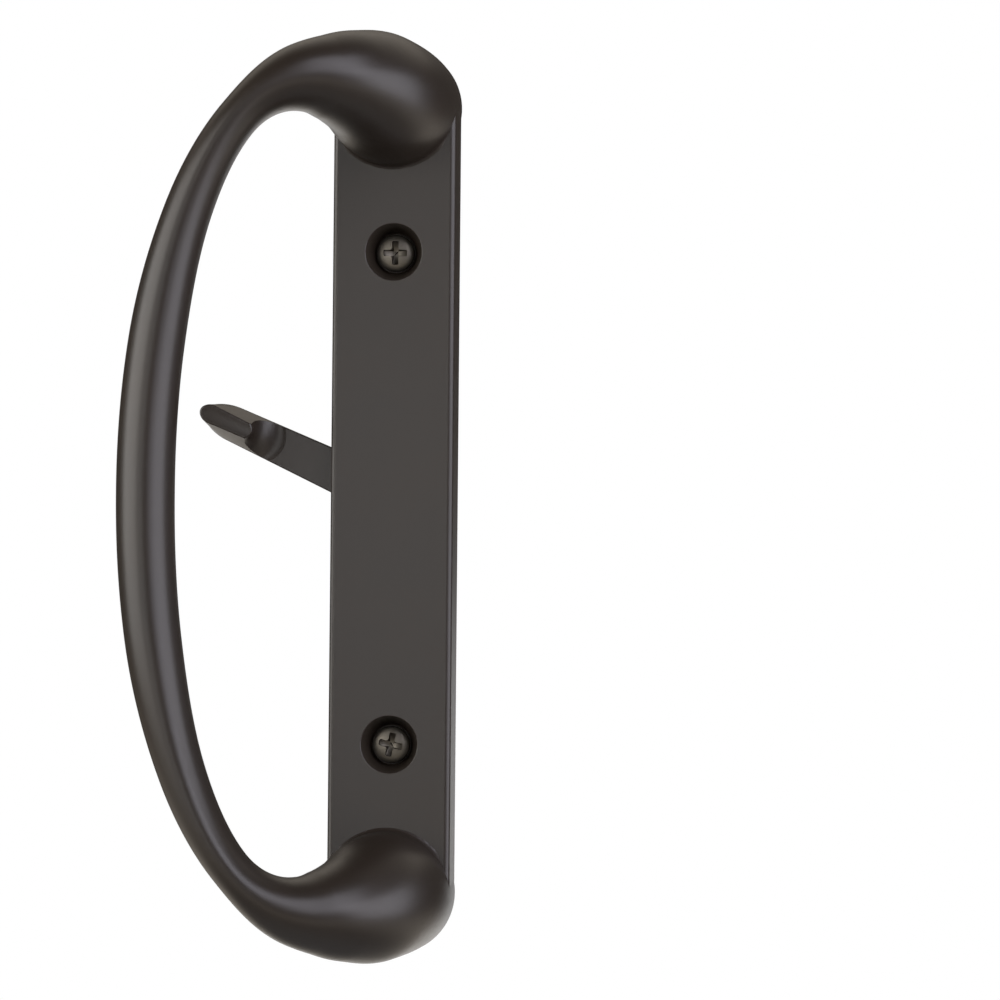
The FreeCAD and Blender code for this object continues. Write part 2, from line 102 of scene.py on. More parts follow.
# A turned shell: profile of (radius, height off the door) carried round a line square to the door
# at (0, z). The profile starts and ends on that line, so it needs no caps.
def makeTurned(name, profile, z=0.0, columns=64):
    radius, height = np.array(profile, float).T
    turn = np.linspace(0, 2 * np.pi, columns, endpoint=False)
    return makeShell(name, np.stack([
        radius[:, None] * np.cos(turn),
        -np.repeat(height[:, None], columns, axis=1),
        z + radius[:, None] * np.sin(turn),
    ], axis=-1), False)


# Profile of a plain cylinder between two heights.
def cylinder(radius, low, high):
    return [(0, low), (radius, low), (radius, high), (0, high)]


# Outline of a bar with round ends about (0, +-centre): half circles joined by straight sides.
def stadium(radius, centre, arc=48, side=24):
    turn = np.linspace(0, np.pi, arc)
    run = np.linspace(centre, -centre, side + 2)[1:-1]
    x = np.concatenate([np.cos(turn), -np.ones(side), -np.cos(turn), np.ones(side)]) * radius
    z = np.concatenate([
        np.sin(turn) * radius + centre, run, -np.sin(turn) * radius - centre, -run,
    ])
    return x, z


# Stadium outline carried up a profile of (inset, height): each inset makes a smaller radius.
def stadiumRings(profile, radius, centre, arc=48, side=24):
    rings = []
    for inset, height in profile:
        x, z = stadium(radius - inset, centre, arc, side)
        rings.append(np.stack([x, np.full_like(x, -height), z], axis=-1))
    return np.array(rings)


# Quarter round of an edge: (inset, rise) pairs from the wall to the face.
def quarterRound(radius, steps):
    turn = np.linspace(0, np.pi / 2, steps)
    return np.stack([radius * (1 - np.cos(turn)), radius * np.sin(turn)], axis=-1)


# Box with rounded corners in the plane of the door, as rings at each height.
def roundBoxRings(halfWidth, halfHeight, corner, heights, steps=8):
    turn = np.linspace(0, np.pi / 2, steps)
    x = np.concatenate([
        sign * (halfWidth - corner) + corner * np.cos(turn + start)
        for sign, start in ((1, 0), (-1, np.pi / 2), (-1, np.pi), (1, 1.5 * np.pi))
    ])
    z = np.concatenate([
        sign * (halfHeight - corner) + corner * np.sin(turn + start)
        for sign, start in ((1, 0), (1, np.pi / 2), (-1, np.pi), (-1, 1.5 * np.pi))
    ])
    return np.array([np.stack([x, np.full_like(x, -h), z], axis=-1) for h in heights])


# Plain box between two corners (x, height, z), as two rings.
def boxRings(low, high):
    x = np.array([low[0], high[0], high[0], low[0]], float)
    z = np.array([low[2], low[2], high[2], high[2]], float)
    heights = low[1], high[1]
    return np.array([np.stack([x, np.full(4, -h, float), z], axis=-1) for h in heights])


# Monotone cubic through the listed sizes: the slope at each is the weighted harmonic mean of
# the two chords beside it, and flat where they change sign.
def throughSizes(shares, sizes, share):
    shares, sizes = np.array(shares, float), np.array(sizes, float)
    step = np.diff(shares)
    chord = np.diff(sizes) / step
    slope = np.zeros_like(sizes)
    same = chord[1:] * chord[:-1] > 0
    first, second = np.where(same, chord[:-1], 1.0), np.where(same, chord[1:], 1.0)
    before, after = 2 * step[1:] + step[:-1], step[1:] + 2 * step[:-1]
    slope[1:-1] = np.where(same, (before + after) / (before / first + after / second), 0.0)
    slope[0] = chord[0]
    cell = np.clip(np.searchsorted(shares, share) - 1, 0, len(step) - 1)
    t = (share - shares[cell]) / step[cell]
    return (
        sizes[cell] * (1 + 2 * t) * (1 - t) ** 2
        + sizes[cell + 1] * t * t * (3 - 2 * t)
        + step[cell] * (slope[cell] * t * (1 - t) ** 2 - slope[cell + 1] * t * t * (1 - t))
    )


# sRGB hex to the linear colour that a shader socket takes.
def linearColour(hexText):
    value = np.array([int(hexText[i:i + 2], 16) for i in (1, 3, 5)]) / 255
    linear = np.where(value <= 0.04045, value / 12.92, ((value + 0.055) / 1.055) ** 2.4)
    return (*linear.tolist(), 1.0)


# Adds one node: settings are its own properties, values fill its sockets, links feed them.
def addNode(tree, kind, values=None, links=None, **settings):
    node = tree.nodes.new(kind)
    for name, setting in settings.items():
        setattr(node, name, setting)
    for socket, value in (values or {}).items():
        node.inputs[socket].default_value = value
    for socket, source in (links or {}).items():
        tree.links.new(source, node.inputs[socket])
    return node


# A material with an empty node tree.
def newMaterial(name):
    material = bpy.data.materials.new(name)
    material.use_nodes = True
    material.node_tree.nodes.clear()
    return material, material.node_tree


# Powder-coated zinc die-casting: a baked satin coat in dark bronze, a shade browner where it
# flowed thin, with a fine orange-peel skin that breaks up the highlights.
coatFinish = {
    "colour": "#25201c", "thinColour": "#2a221b", "roughness": (0.34, 0.42),
    "cloudSize": 14.0, "peelSize": 0.9, "peelHeight": 0.006, "peelStrength": 0.5,
}


def makeCoat():
    material, tree = newMaterial("powderCoatedZinc")
    place = addNode(tree, "ShaderNodeTexCoord")
    cloud = addNode(
        tree, "ShaderNodeTexNoise", {"Scale": 1 / (coatFinish["cloudSize"] * mm), "Detail": 3.0},
        {"Vector": place.outputs["Object"]})
    tint = addNode(
        tree, "ShaderNodeMix",
        {6: linearColour(coatFinish["colour"]), 7: linearColour(coatFinish["thinColour"])},
        {0: cloud.outputs["Fac"]}, data_type="RGBA")
    # real peel is about 0.3 mm across, drawn three times as wide so that it shows
    peel = addNode(
        tree, "ShaderNodeTexNoise", {"Scale": 1 / (coatFinish["peelSize"] * mm), "Detail": 2.0},
        {"Vector": place.outputs["Object"]})
    low, high = coatFinish["roughness"]
    gloss = addNode(
        tree, "ShaderNodeMapRange", {"To Min": low, "To Max": high},
        {"Value": peel.outputs["Fac"]})
    skin = addNode(
        tree, "ShaderNodeBump",
        {"Strength": coatFinish["peelStrength"], "Distance": coatFinish["peelHeight"] * mm},
        {"Height": peel.outputs["Fac"]})
    shader = addNode(
        tree, "ShaderNodeBsdfPrincipled", {"IOR": 1.5},
        {"Base Color": tint.outputs[2], "Roughness": gloss.outputs[0], "Normal": skin.outputs[0]})
    addNode(tree, "ShaderNodeOutputMaterial", links={"Surface": shader.outputs[0]})
    return material


# Black-oxide steel: a thin dark conversion layer over steel, so the metal still glints, with
# fine wear marks from the driver.
blackFinish = {
    "colour": "#67635c", "wornColour": "#777269", "roughness": (0.40, 0.52), "markSize": 0.6,
}


# Zinc-plated steel: bright blue-white plating with faint yellow clouds of passivation.
platedFinish = {
    "colour": "#aeb3b8", "wornColour": "#b9b39c", "roughness": (0.24, 0.40), "markSize": 2.5,
}


# Tempered spring steel: grey-blue from the oven, smooth from rolling.
springFinish = {
    "colour": "#6c7076", "wornColour": "#76706a", "roughness": (0.22, 0.34), "markSize": 1.8,
}


metalSkin = {"height": 0.004, "strength": 0.4}


# A metal with cloudy colour, roughness and a fine skin over the object's own coordinates.
def makeMetal(name, finish):
    material, tree = newMaterial(name)
    place = addNode(tree, "ShaderNodeTexCoord")
    marks = addNode(
        tree, "ShaderNodeTexNoise", {"Scale": 1 / (finish["markSize"] * mm), "Detail": 4.0},
        {"Vector": place.outputs["Object"]})
    tint = addNode(
        tree, "ShaderNodeMix",
        {6: linearColour(finish["colour"]), 7: linearColour(finish["wornColour"])},
        {0: marks.outputs["Fac"]}, data_type="RGBA")
    low, high = finish["roughness"]
    gloss = addNode(
        tree, "ShaderNodeMapRange", {"To Min": low, "To Max": high},
        {"Value": marks.outputs["Fac"]})
    skin = addNode(
        tree, "ShaderNodeBump",
        {"Strength": metalSkin["strength"], "Distance": metalSkin["height"] * mm},
        {"Height": marks.outputs["Fac"]})
    shader = addNode(
        tree, "ShaderNodeBsdfPrincipled", {"Metallic": 1.0},
        {"Base Color": tint.outputs[2], "Roughness": gloss.outputs[0], "Normal": skin.outputs[0]})
    addNode(tree, "ShaderNodeOutputMaterial", links={"Surface": shader.outputs[0]})
    return material


coat = makeCoat()
blackSteel = makeMetal("blackOxideSteel", blackFinish)
platedSteel = makeMetal("zincPlatedSteel", platedFinish)
springSteel = makeMetal("temperedSpringSteel", springFinish)
print("materials made")


bow = {
    "gripOffset": 45.5, "standOff": 40.0, "halfHeight": 83.5, "crown": 12.2,
    "squareness": 2.09, "planSquareness": 1.35, "footCentre": 80.0,
    "share": (0, 0.085, 0.15, 0.27, 0.40, 0.56, 0.71, 0.86, 1),
    "width": (25.3, 25.7, 25.5, 20.6, 13.8, 8.2, 9.4, 11.2, 11.6),
    "depth": (25.3, 25.7, 25.5, 22.8, 17.8, 14.8, 14.0, 14.6, 15.0),
    "crease": 1.0, "creaseFoot": 0.06, "creaseSink": 2.0,  # cove radius, least s, fade below it
    "creaseMargin": 1.3, "creaseFade": 2.0,  # bare strip inside the plate's edge, and its fade
    "footRows": ((1.0, 6.5, 8), (6.6, 15.6, 74)),  # heights off the door: from, to, count
    "backRows": 5, "gripRows": 150, "columns": 112, "nudge": 1e-4,
}


# Middle of the bow at a share of its upper half: straight up from the foot in plan and bent over
# to the grip, x = -G (1 - cos t)^k and y = -H sin t; in the front view a parabola from the foot to
# the crown and a superellipse from there to the grip.
def bowMiddle(share):
    turn = np.pi / 2 * share * (2 - share)
    x = -bow["gripOffset"] * np.clip(1 - np.cos(turn), 0, None) ** bow["planSquareness"]
    reach = np.clip(-(x + bow["crown"]) / (bow["gripOffset"] - bow["crown"]), 0, 1)
    power = bow["squareness"]
    rise = bow["halfHeight"] * (1 - reach ** power) ** (1 / power)
    ease = np.clip(1 + x / bow["crown"], 0, 1) ** 2
    z = rise - (bow["halfHeight"] - bow["footCentre"]) * ease
    return np.stack([x, -bow["standOff"] * np.sin(turn), z], axis=-1)


# Width direction of each section: straight up near the foot, then square to the superellipse.
def bowAcross(middle):
    power = bow["squareness"]
    span = bow["gripOffset"] - bow["crown"]
    reach = np.clip(-(middle[:, 0] + bow["crown"]) / span, 0, 1)
    rise = np.clip(1 - reach ** power, 0, None) ** (1 / power)
    across = np.stack([
        -reach ** (power - 1) / span, np.zeros_like(reach), rise ** (power - 1) / bow["halfHeight"],
    ], axis=-1)
    return across / np.linalg.norm(across, axis=1, keepdims=True)


# Ellipses carried along the bow, foot to foot: middle + depth/2 cos v (along x across)
# + width/2 sin v (across). The lower half mirrors the upper. Where a foot meets the plate the
# skin flares by a cove, d = c (1 - sqrt(1 - (1 - s)^2)) at a height s c above the face.
def bowRings(plate):
    edge = plate["backEdge"]
    height = np.concatenate([
        edge * (1 - np.cos(np.linspace(0, np.pi / 2, bow["backRows"]))),
        *(np.linspace(*rows) for rows in bow["footRows"]),
    ])
    turn = np.arcsin(height / bow["standOff"])
    low = 1 - np.sqrt(1 - 2 * turn / np.pi)
    share = np.concatenate([low, np.linspace(low[-1], 1, bow["gripRows"])[1:]])
    middle = bowMiddle(share)
    across = bowAcross(middle)
    along = middle - bowMiddle(np.clip(share - bow["nudge"], 0, 1))
    along[0] = (0, -1, 0)
    along /= np.linalg.norm(along, axis=1, keepdims=True)
    outward = np.cross(along, across)
    width = throughSizes(bow["share"], bow["width"], share)[:, None, None]
    depth = throughSizes(bow["share"], bow["depth"], share)[:, None, None]
    short = np.clip(edge - height, 0, None)
    inset = np.zeros(len(share))
    inset[:len(height)] = edge - np.sqrt(edge ** 2 - short ** 2)
    width, depth = width - 2 * inset[:, None, None], depth - 2 * inset[:, None, None]
    around = np.linspace(0, 2 * np.pi, bow["columns"], endpoint=False)[None, :, None]
    points = (
        middle[:, None] + depth / 2 * np.cos(around) * outward[:, None]
        + width / 2 * np.sin(around) * across[:, None]
    )
    inside = plate["width"] / 2 - np.hypot(
        points[..., 0], np.clip(np.abs(points[..., 2]) - bow["footCentre"], 0, None))
    keep = np.clip((inside - bow["creaseMargin"]) / bow["creaseFade"], 0, 1)
    keep = keep * keep * (3 - 2 * keep)
    lift = (-points[..., 1] - plate["depth"]) / bow["crease"]
    foot, sink = bow["creaseFoot"], bow["creaseSink"]
    cove = np.clip(foot + (1 - foot) * lift, foot, 1)
    flare = bow["crease"] * (1 - np.sqrt(1 - (1 - cove) ** 2))
    flare *= keep * np.clip(1 + (lift + sink) / sink, 0, 1)
    away = points - middle[:, None]
    away[..., 1] = 0
    away /= np.linalg.norm(away, axis=-1, keepdims=True)
    points = points + flare[..., None] * away
    mirrored = points[-2::-1] * np.array([1, 1, -1])
    return np.concatenate([points, mirrored])


plate = {
    "width": 25.0, "depth": 10.0, "frontEdge": 1.2, "backEdge": 0.3,
    "cavity": (10.0, 67.5, 2.0, 7.5),  # half width, half height, corner, ceiling
    "screwSpacing": 100.0, "bossRadius": 7.55, "holeRadius": 2.4,
    "counterbore": (5.72, 5.0, 0.25),  # rim radius, floor height, rim round
    # radius and height at the start, corner and end of the fillet round the counterbore's floor
    "counterboreRoot": ((3.82, 5.0), (4.2, 5.0), (4.39, 5.6)),
    "footCore": (9.5, 8.1, 14.0),  # radius at the door, at the end, depth
    "coreRound": ((0.08, 0.8), (-0.2, 0.2), (-0.8, 0.0)),  # out from the end's radius, short of it
    "retainerSpacing": 34.0, "retainerBoss": (3.25, 3.4),  # radius, start
    "pilot": (1.5, 2.0, 7.6), "pivotBore": (3.55, 6.0, 8.9),  # radius, start, end
    "notch": (14.0, 11.25, 7.0),  # reach, half height, depth
    "past": 1.0, "hair": 0.02,  # how far tools run on, and how far a rim clears the face
}


# The casting: rounded plate and bow as one skin, hollowed from the back.
def makePullHandle():
    edge = quarterRound(plate["frontEdge"], 11)
    back = quarterRound(plate["backEdge"], 4)[::-1]
    profile = np.concatenate([
        back * (1, -1) + (0, plate["backEdge"]),
        edge + (0, plate["depth"] - plate["frontEdge"]),
    ])
    piece = makeShell("plate", stadiumRings(profile, plate["width"] / 2, bow["footCentre"]))
    combine(piece, makeShell("bow", bowRings(plate)), "UNION")
    halfWidth, halfHeight, corner, ceiling = plate["cavity"]
    past, face = plate["past"], plate["depth"]
    cavity = roundBoxRings(halfWidth, halfHeight, corner, (-past, ceiling))
    combine(piece, makeShell("cavity", cavity), "DIFFERENCE")
    bossRadius, bossStart = plate["retainerBoss"]
    rim, seat, rimRound = plate["counterbore"]
    coreFoot, coreEnd, coreDepth = plate["footCore"]
    lip = quarterRound(rimRound, 6)[:-1] + (rim, face - rimRound)
    start, bend, end = np.array(plate["counterboreRoot"])
    share = np.linspace(0, 1, 8)[:, None]
    root = start * (1 - share) ** 2 + bend * 2 * share * (1 - share) + end * share ** 2
    screwBoss = cylinder(plate["bossRadius"], 0, ceiling + past)
    retainerBoss = cylinder(bossRadius, bossStart, ceiling + past)
    screwWell = [
        (0, -past), (plate["holeRadius"], -past), (plate["holeRadius"], seat), *root.tolist(),
        *lip.tolist(), (rim + rimRound, face + plate["hair"]), (rim + rimRound, face + past),
        (0, face + past),
    ]
    footCore = [
        (0, -past), (coreFoot, -past), (coreFoot, 0),
        *((coreEnd + out, coreDepth - short) for out, short in plate["coreRound"]), (0, coreDepth),
    ]
    pilot = cylinder(*plate["pilot"])
    for side in (1, -1):
        screwAt = side * plate["screwSpacing"] / 2
        retainerAt = side * plate["retainerSpacing"] / 2
        footAt = side * bow["footCentre"]
        combine(piece, makeTurned("screwBoss", screwBoss, screwAt), "UNION")
        combine(piece, makeTurned("retainerBoss", retainerBoss, retainerAt), "UNION")
        combine(piece, makeTurned("screwWell", screwWell, screwAt, 96), "DIFFERENCE")
        combine(piece, makeTurned("footCore", footCore, footAt), "DIFFERENCE")
        combine(piece, makeTurned("pilot", pilot, retainerAt, 32), "DIFFERENCE")
    combine(piece, makeTurned("pivotBore", cylinder(*plate["pivotBore"])), "DIFFERENCE")
    reach, notchHalf, notchDepth = plate["notch"]
    notch = boxRings((-reach, -past, -notchHalf), (past - halfWidth, notchDepth, notchHalf))
    combine(piece, makeShell("notch", notch), "DIFFERENCE")
    return finishPiece(piece, "pullHandle", "handle", "pull_handle", coat)


lever = {
    "restAngle": 24.5, "back": 3.5, "middle": 5.0, "front": 6.5, "edge": 0.3, "ease": 0.25,
    # start, half width, end, half width at the point, the point's length, nose radius
    "bar": (0.0, 4.6, 43.0, 3.6, 7.0, 2.0),
    "block": (27.6, 3.81, 42.97, 3.57, 6.97, 1.97),
    "pad": (27.6, 1.55, 42.75, 1.95, 2.4, 1.5),
    "padHeight": 13.0, "padEdge": 0.35, "padDish": 0.12, "blockSunk": 1.0,
    "scoopNose": -31.2, "scoopFoot": -24.8, "scoopRadius": 4.65, "scoopDip": 0.2,
    "scoopLip": 0.15, "noseLip": 0.5, "noseStart": 0.1,
    # shares of the way from nose to foot, and how far the level line falls back at the sides
    "scoopWay": (0, 0.2, 0.4, 0.6, 0.8, 1),
    "scoopBow": (1.0, 1.0, 1.0, 1.1, 1.3, 1.6),
    # how far the scoop runs on: over the pad, off the bar's face, past its sides and foot
    "scoopOver": 0.6, "scoopHair": 0.004, "scoopSide": 0.2, "scoopEnd": (0.05, 0.02),
    "scoopTop": 18.0, "scoopColumns": 61,
    "hub": 7.0, "stub": (3.5, 8.6), "collar": (4.5, 1.2),  # radius, end
    "slot": (0.83, 3.23, 4.6),  # half thickness, half width, end
}


# Turns points drawn along -x up to the lever's rest angle about the pivot.
def leverTurned(points):
    angle = np.radians(lever["restAngle"])
    x, z = points[..., 0], points[..., 2]
    return np.stack([
        x * np.cos(angle) + z * np.sin(angle),
        points[..., 1],
        z * np.cos(angle) - x * np.sin(angle),
    ], axis=-1)


# Outline of a bar along -x with a pointed end: straight sides, an arc on each side, and the nose's
# arc between. The side arcs' radius is ((l - n)^2 + h^2 - n^2) / (2 (h - n)), so they meet the nose
# smoothly.
def pointedBar(start, wide, end, half, length, nose):
    sweep = ((length - nose) ** 2 + half ** 2 - nose ** 2) / 2 / (half - nose)
    meet = np.arcsin((length - nose) / (sweep - nose))
    bend = np.linspace(0, meet, 40)
    tip = np.linspace(meet, np.pi / 2, 24)[1:]
    run = np.linspace(0, 1, 60)[:-1]
    x = np.concatenate([
        -start - (end - length - start) * run, length - end - sweep * np.sin(bend),
        nose - end - nose * np.sin(tip),
    ])
    z = np.concatenate([
        wide + (half - wide) * run, half - sweep + sweep * np.cos(bend), nose * np.cos(tip),
    ])
    return np.concatenate([x, x[-2::-1]]), np.concatenate([z, -z[-2::-1]])


# Bar as rings of its outline: up its wall from the back, with both rims rounded.
def barRings():
    ease = quarterRound(lever["edge"], 6)
    profile = np.concatenate([
        ease[::-1] * (1, -1) + (0, lever["back"] + lever["edge"]),
        ease + (0, lever["front"] - lever["edge"]),
    ])
    start, *sizes = lever["bar"]
    rings = []
    for inset, height in profile:
        x, z = pointedBar(start, *(size - inset for size in sizes))
        rings.append(np.stack([x, np.full_like(x, -height), z], axis=-1))
    return np.array(rings)


# Thumb block: straight lines from each point of the bar's outline to its fellow on the pad's, a
# round at the pad's rim, and the pad itself drawn in to its middle line and dished a little.
def blockRings():
    low = np.stack(pointedBar(*lever["block"]), axis=-1)
    high = np.stack(pointedBar(*lever["pad"]), axis=-1)
    tip = lever["pad"][5] - lever["pad"][2]
    middle = np.stack([np.clip(high[:, 0], tip, None), np.zeros(len(high))], axis=-1)
    foot, top, edge = lever["front"] - lever["edge"], lever["padHeight"], lever["padEdge"]
    rings = [np.insert(low, 1, lever["blockSunk"] - foot, axis=1)]
    for share in np.linspace(0, 1, 20):
        height = foot + (top - edge - foot) * share
        rings.append(np.insert(low + (high - low) * share, 1, -height, axis=1))
    reach = np.maximum(np.linalg.norm(high - middle, axis=1, keepdims=True), 1e-6)
    for inset, rise in quarterRound(edge, 8)[1:]:
        drawn = high + (middle - high) * np.clip(inset / reach, 0, 1)
        rings.append(np.insert(drawn, 1, -(top - edge + rise), axis=1))
    rim = high + (middle - high) * np.clip(edge / reach, 0, 1)
    for share in np.linspace(0, 1, 8)[1:]:
        dip = lever["padDish"] * (1 - (1 - share) ** 2)
        rings.append(np.insert(rim + (middle - rim) * share, 1, -(top - dip), axis=1))
    return np.array(rings)


# Scoop cut out of the block: level lines across the lever, x = middle - bow t^2 and z = t w, that
# go over the nose's lip, down its wall and along a cove to the bar's face. They bulge most at the
# foot, where they round over into the face.
def scoopRings():
    radius, dip, lip = lever["scoopRadius"], lever["scoopDip"], lever["scoopLip"]
    nose, front, top = lever["scoopNose"], lever["front"], lever["padHeight"]
    rise = np.arccos(1 - dip / (radius + lip))
    turn = np.linspace(-np.pi / 2, rise, 48)
    stretch = (lever["scoopFoot"] - nose - (radius + lip) * np.sin(rise)) / radius
    along = radius * np.where(turn < 0, stretch * (np.sin(turn) + 1), stretch + np.sin(turn))
    back = np.linspace(rise, 0.0, 8)[1:]
    over, fall = np.linspace(lever["noseStart"], np.pi / 2, 8), lever["noseLip"]
    place = np.concatenate([
        [-fall], fall * (np.sin(over) - 1), np.zeros(5), along[1:],
        along[-1] + lip * (np.sin(rise) - np.sin(back)),
    ])
    tall = np.concatenate([
        [top + lever["scoopOver"]], top + fall * (np.cos(over) - 1),
        np.linspace(top - fall, front - dip + radius, 6)[1:],
        front - dip + radius * (1 - np.cos(turn[1:])),
        front + lever["scoopHair"] - lip * (1 - np.cos(back)),
    ])
    way = np.concatenate([[0], np.cumsum(np.hypot(np.diff(place), np.diff(tall)))])
    bulge = throughSizes(lever["scoopWay"], lever["scoopBow"], way / way[-1])
    low, high = lever["block"][1], lever["pad"][1]
    drawnIn = (low - high) * np.clip((tall - front) / (top - front), 0, 1)
    wide = low + lever["scoopSide"] - drawnIn
    end, ceiling = place[-1] + lever["scoopEnd"][0], lever["scoopTop"]
    place = np.concatenate([place, [end, end, -fall]])
    tall = np.concatenate([tall, [front + lever["scoopEnd"][1], ceiling, ceiling]])
    bulge = np.concatenate([bulge, [bulge[-1], bulge[-1], bulge[0]]])
    wide = np.concatenate([wide, [wide[-1], wide[-1], wide[0]]])
    t = np.linspace(-1, 1, lever["scoopColumns"])[:, None]
    return np.stack([
        nose + place - bulge * t * t, np.repeat(-tall[None, :], len(t), axis=0), wide * t], axis=-1)


# The lever: bar and scooped block, with a hub, a stub in front and a collar behind on its axis.
def makeLatchLever():
    piece = makeShell("bar", leverTurned(barRings()))
    combine(piece, makeShell("block", leverTurned(blockRings())), "UNION")
    combine(piece, makeShell("scoop", leverTurned(scoopRings())), "DIFFERENCE")
    back, middle, front, ease = lever["back"], lever["middle"], lever["front"], lever["ease"]
    hubRadius = lever["hub"]
    hub = [
        (0, back), (hubRadius - ease, back), (hubRadius, back + ease),
        (hubRadius, front - ease), (hubRadius - ease, front), (0, front),
    ]
    combine(piece, makeTurned("hub", hub), "UNION")
    stubRadius, stubEnd = lever["stub"]
    stub = [
        (0, middle), (stubRadius, middle), (stubRadius, stubEnd - ease),
        (stubRadius - ease, stubEnd), (0, stubEnd),
    ]
    combine(piece, makeTurned("stub", stub), "UNION")
    collarRadius, collarEnd = lever["collar"]
    collar = [
        (0, collarEnd), (collarRadius - ease, collarEnd), (collarRadius, collarEnd + ease),
        (collarRadius, middle), (0, middle),
    ]
    combine(piece, makeTurned("collar", collar), "UNION")
    slotHalf, slotReach, slotEnd = lever["slot"]
    slot = leverTurned(boxRings((-slotHalf, 0, -slotReach), (slotHalf, slotEnd, slotReach)))
    combine(piece, makeShell("slot", slot), "DIFFERENCE")
    return finishPiece(piece, "latchLever", "lever", "latch_lever", coat, 30)


tailBlade = {
    "thickness": 1.6, "width": 6.4, "start": -4.57, "reach": 38.0, "point": 1.5, "edge": 0.25,
    "startEase": (0.1, 0.1), "tipEase": (0.15, 0.05),  # distance from the end, and inset there
}


# Rounded rectangle carried along y, drawn in at both ends and chamfered to a point in its width.
def makeTailpiece():
    edge, start = tailBlade["edge"], tailBlade["start"]
    reach, point = tailBlade["reach"], tailBlade["point"]
    (startRun, startInset), (tipRun, tipInset) = tailBlade["startEase"], tailBlade["tipEase"]
    run = np.array([start, start + startRun, start + edge, reach - point, reach - tipRun, reach])
    shrink = np.array([edge, startInset, 0, 0, tipInset, edge])
    chamfer = np.array([0, 0, 0, 0, point - tipRun, point])
    turn = np.linspace(0, np.pi / 2, 6)
    corners = np.concatenate([turn + k * np.pi / 2 for k in range(4)])
    signX = np.repeat([1, -1, -1, 1], len(turn))
    signZ = np.repeat([1, 1, -1, -1], len(turn))
    halfX = (tailBlade["thickness"] / 2 - shrink)[:, None]
    halfZ = (tailBlade["width"] / 2 - shrink - chamfer)[:, None]
    x = signX * (halfX - edge) + edge * np.cos(corners)
    z = signZ * (halfZ - edge) + edge * np.sin(corners)
    points = np.stack([x, np.repeat(run[:, None], len(corners), axis=1), z], axis=-1)
    piece = makeShell("blade", leverTurned(points))
    return finishPiece(piece, "latchTailpiece", "lever", "tailpiece", platedSteel)


washer = {"outer": 6.5, "inner": 3.9, "low": 6.55, "rise": 0.6, "thickness": 0.3}


# Flat ring bent about one axis: height = low + rise + (sqrt(B^2 - x^2) - B), B the bend radius.
def makeSpringWasher():
    bend = (washer["outer"] ** 2 + washer["rise"] ** 2) / 2 / washer["rise"]
    turn = np.linspace(0, 2 * np.pi, 72, endpoint=False)
    across = np.linspace(washer["inner"], washer["outer"], 7)
    radius = np.concatenate([across, across[::-1], across[:1]])[:, None]
    lift = np.repeat([0.0, washer["thickness"], 0.0], [len(across), len(across), 1])[:, None]
    x, z = radius * np.cos(turn), radius * np.sin(turn)
    height = washer["low"] + washer["rise"] + np.sqrt(bend ** 2 - x ** 2) - bend + lift
    piece = makeShell("ring", np.stack([x, -height, z], axis=-1), False)
    return finishPiece(
        piece, "springWasher", "handle", "spring_washer", springSteel)


strip = {
    "radius": 7.0, "centre": 14.6, "back": 2.2, "front": 3.4, "edge": 0.2, "hole": 4.55,
    "drilled": (0.0, 5.0),
}


# Stamped strip: a stadium with eased edges, pierced for the lever's collar and its two screws.
def makeRetainerPlate():
    edge = quarterRound(strip["edge"], 4)
    profile = np.concatenate([
        edge[::-1] * (1, -1) + (0, strip["back"] + strip["edge"]),
        edge + (0, strip["front"] - strip["edge"]),
    ])
    piece = makeShell("strip", stadiumRings(profile, strip["radius"], strip["centre"], 32, 2))
    screwHole, screwAt = plate["pilot"][0], plate["retainerSpacing"] / 2
    for radius, at in ((strip["hole"], 0), (screwHole, screwAt), (screwHole, -screwAt)):
        hole = cylinder(radius, *strip["drilled"])
        combine(piece, makeTurned("hole", hole, at), "DIFFERENCE")
    return finishPiece(
        piece, "retainerPlate", "handle", "retainer_plate", platedSteel)


mountingScrew = {
    "seat": 5.0, "facing": 1, "headRadius": 3.8, "headHeight": 2.5, "headEdge": 1.1,
    "neckRadius": 1.75, "neckLength": 5.0, "length": 50.8, "threadRadius": 2.05, "rootRadius": 1.6,
    "pitch": 0.794, "point": 1.0, "crossReach": 2.55, "crossHalf": 0.68, "crossDepth": 2.3,
    "spacing": plate["screwSpacing"], "driven": (0, -12),
}
retainerScrew = {
    "seat": 2.2, "facing": -1, "headRadius": 2.6, "headHeight": 1.5, "headEdge": 0.6,
    "neckRadius": 1.2, "neckLength": 0.6, "length": 5.0, "threadRadius": 1.45, "rootRadius": 1.15,
    "pitch": 0.9, "point": 0.6, "crossReach": 1.6, "crossHalf": 0.42, "crossDepth": 1.3,
    "spacing": plate["retainerSpacing"], "driven": (20, 55),
}


# What both screws share, in millimetres or as shares of their own sizes.
screwForm = {
    "ease": (0.05, 0.08, 0.1),  # at the dome's rim, at the head's edge, under the head
    "pitchRows": 7, "crest": (1.3, 0.12),  # height of the thread's wave, and how far it is sunk
    "crossStart": 0.7,  # first ring of the recess, above the head
    "crossSteps": ((0.5, 0.92), (0.85, 0.6), (1.0, 0.15)),  # shares of depth and reach below it
    "crossKept": (0.55, 0.45),  # share of the arms' width that stays, and that goes with reach
    "crossEase": (0.45, 0.3), "crossTip": (0.3, 0.6),  # inner corners and tips, by half a width
}


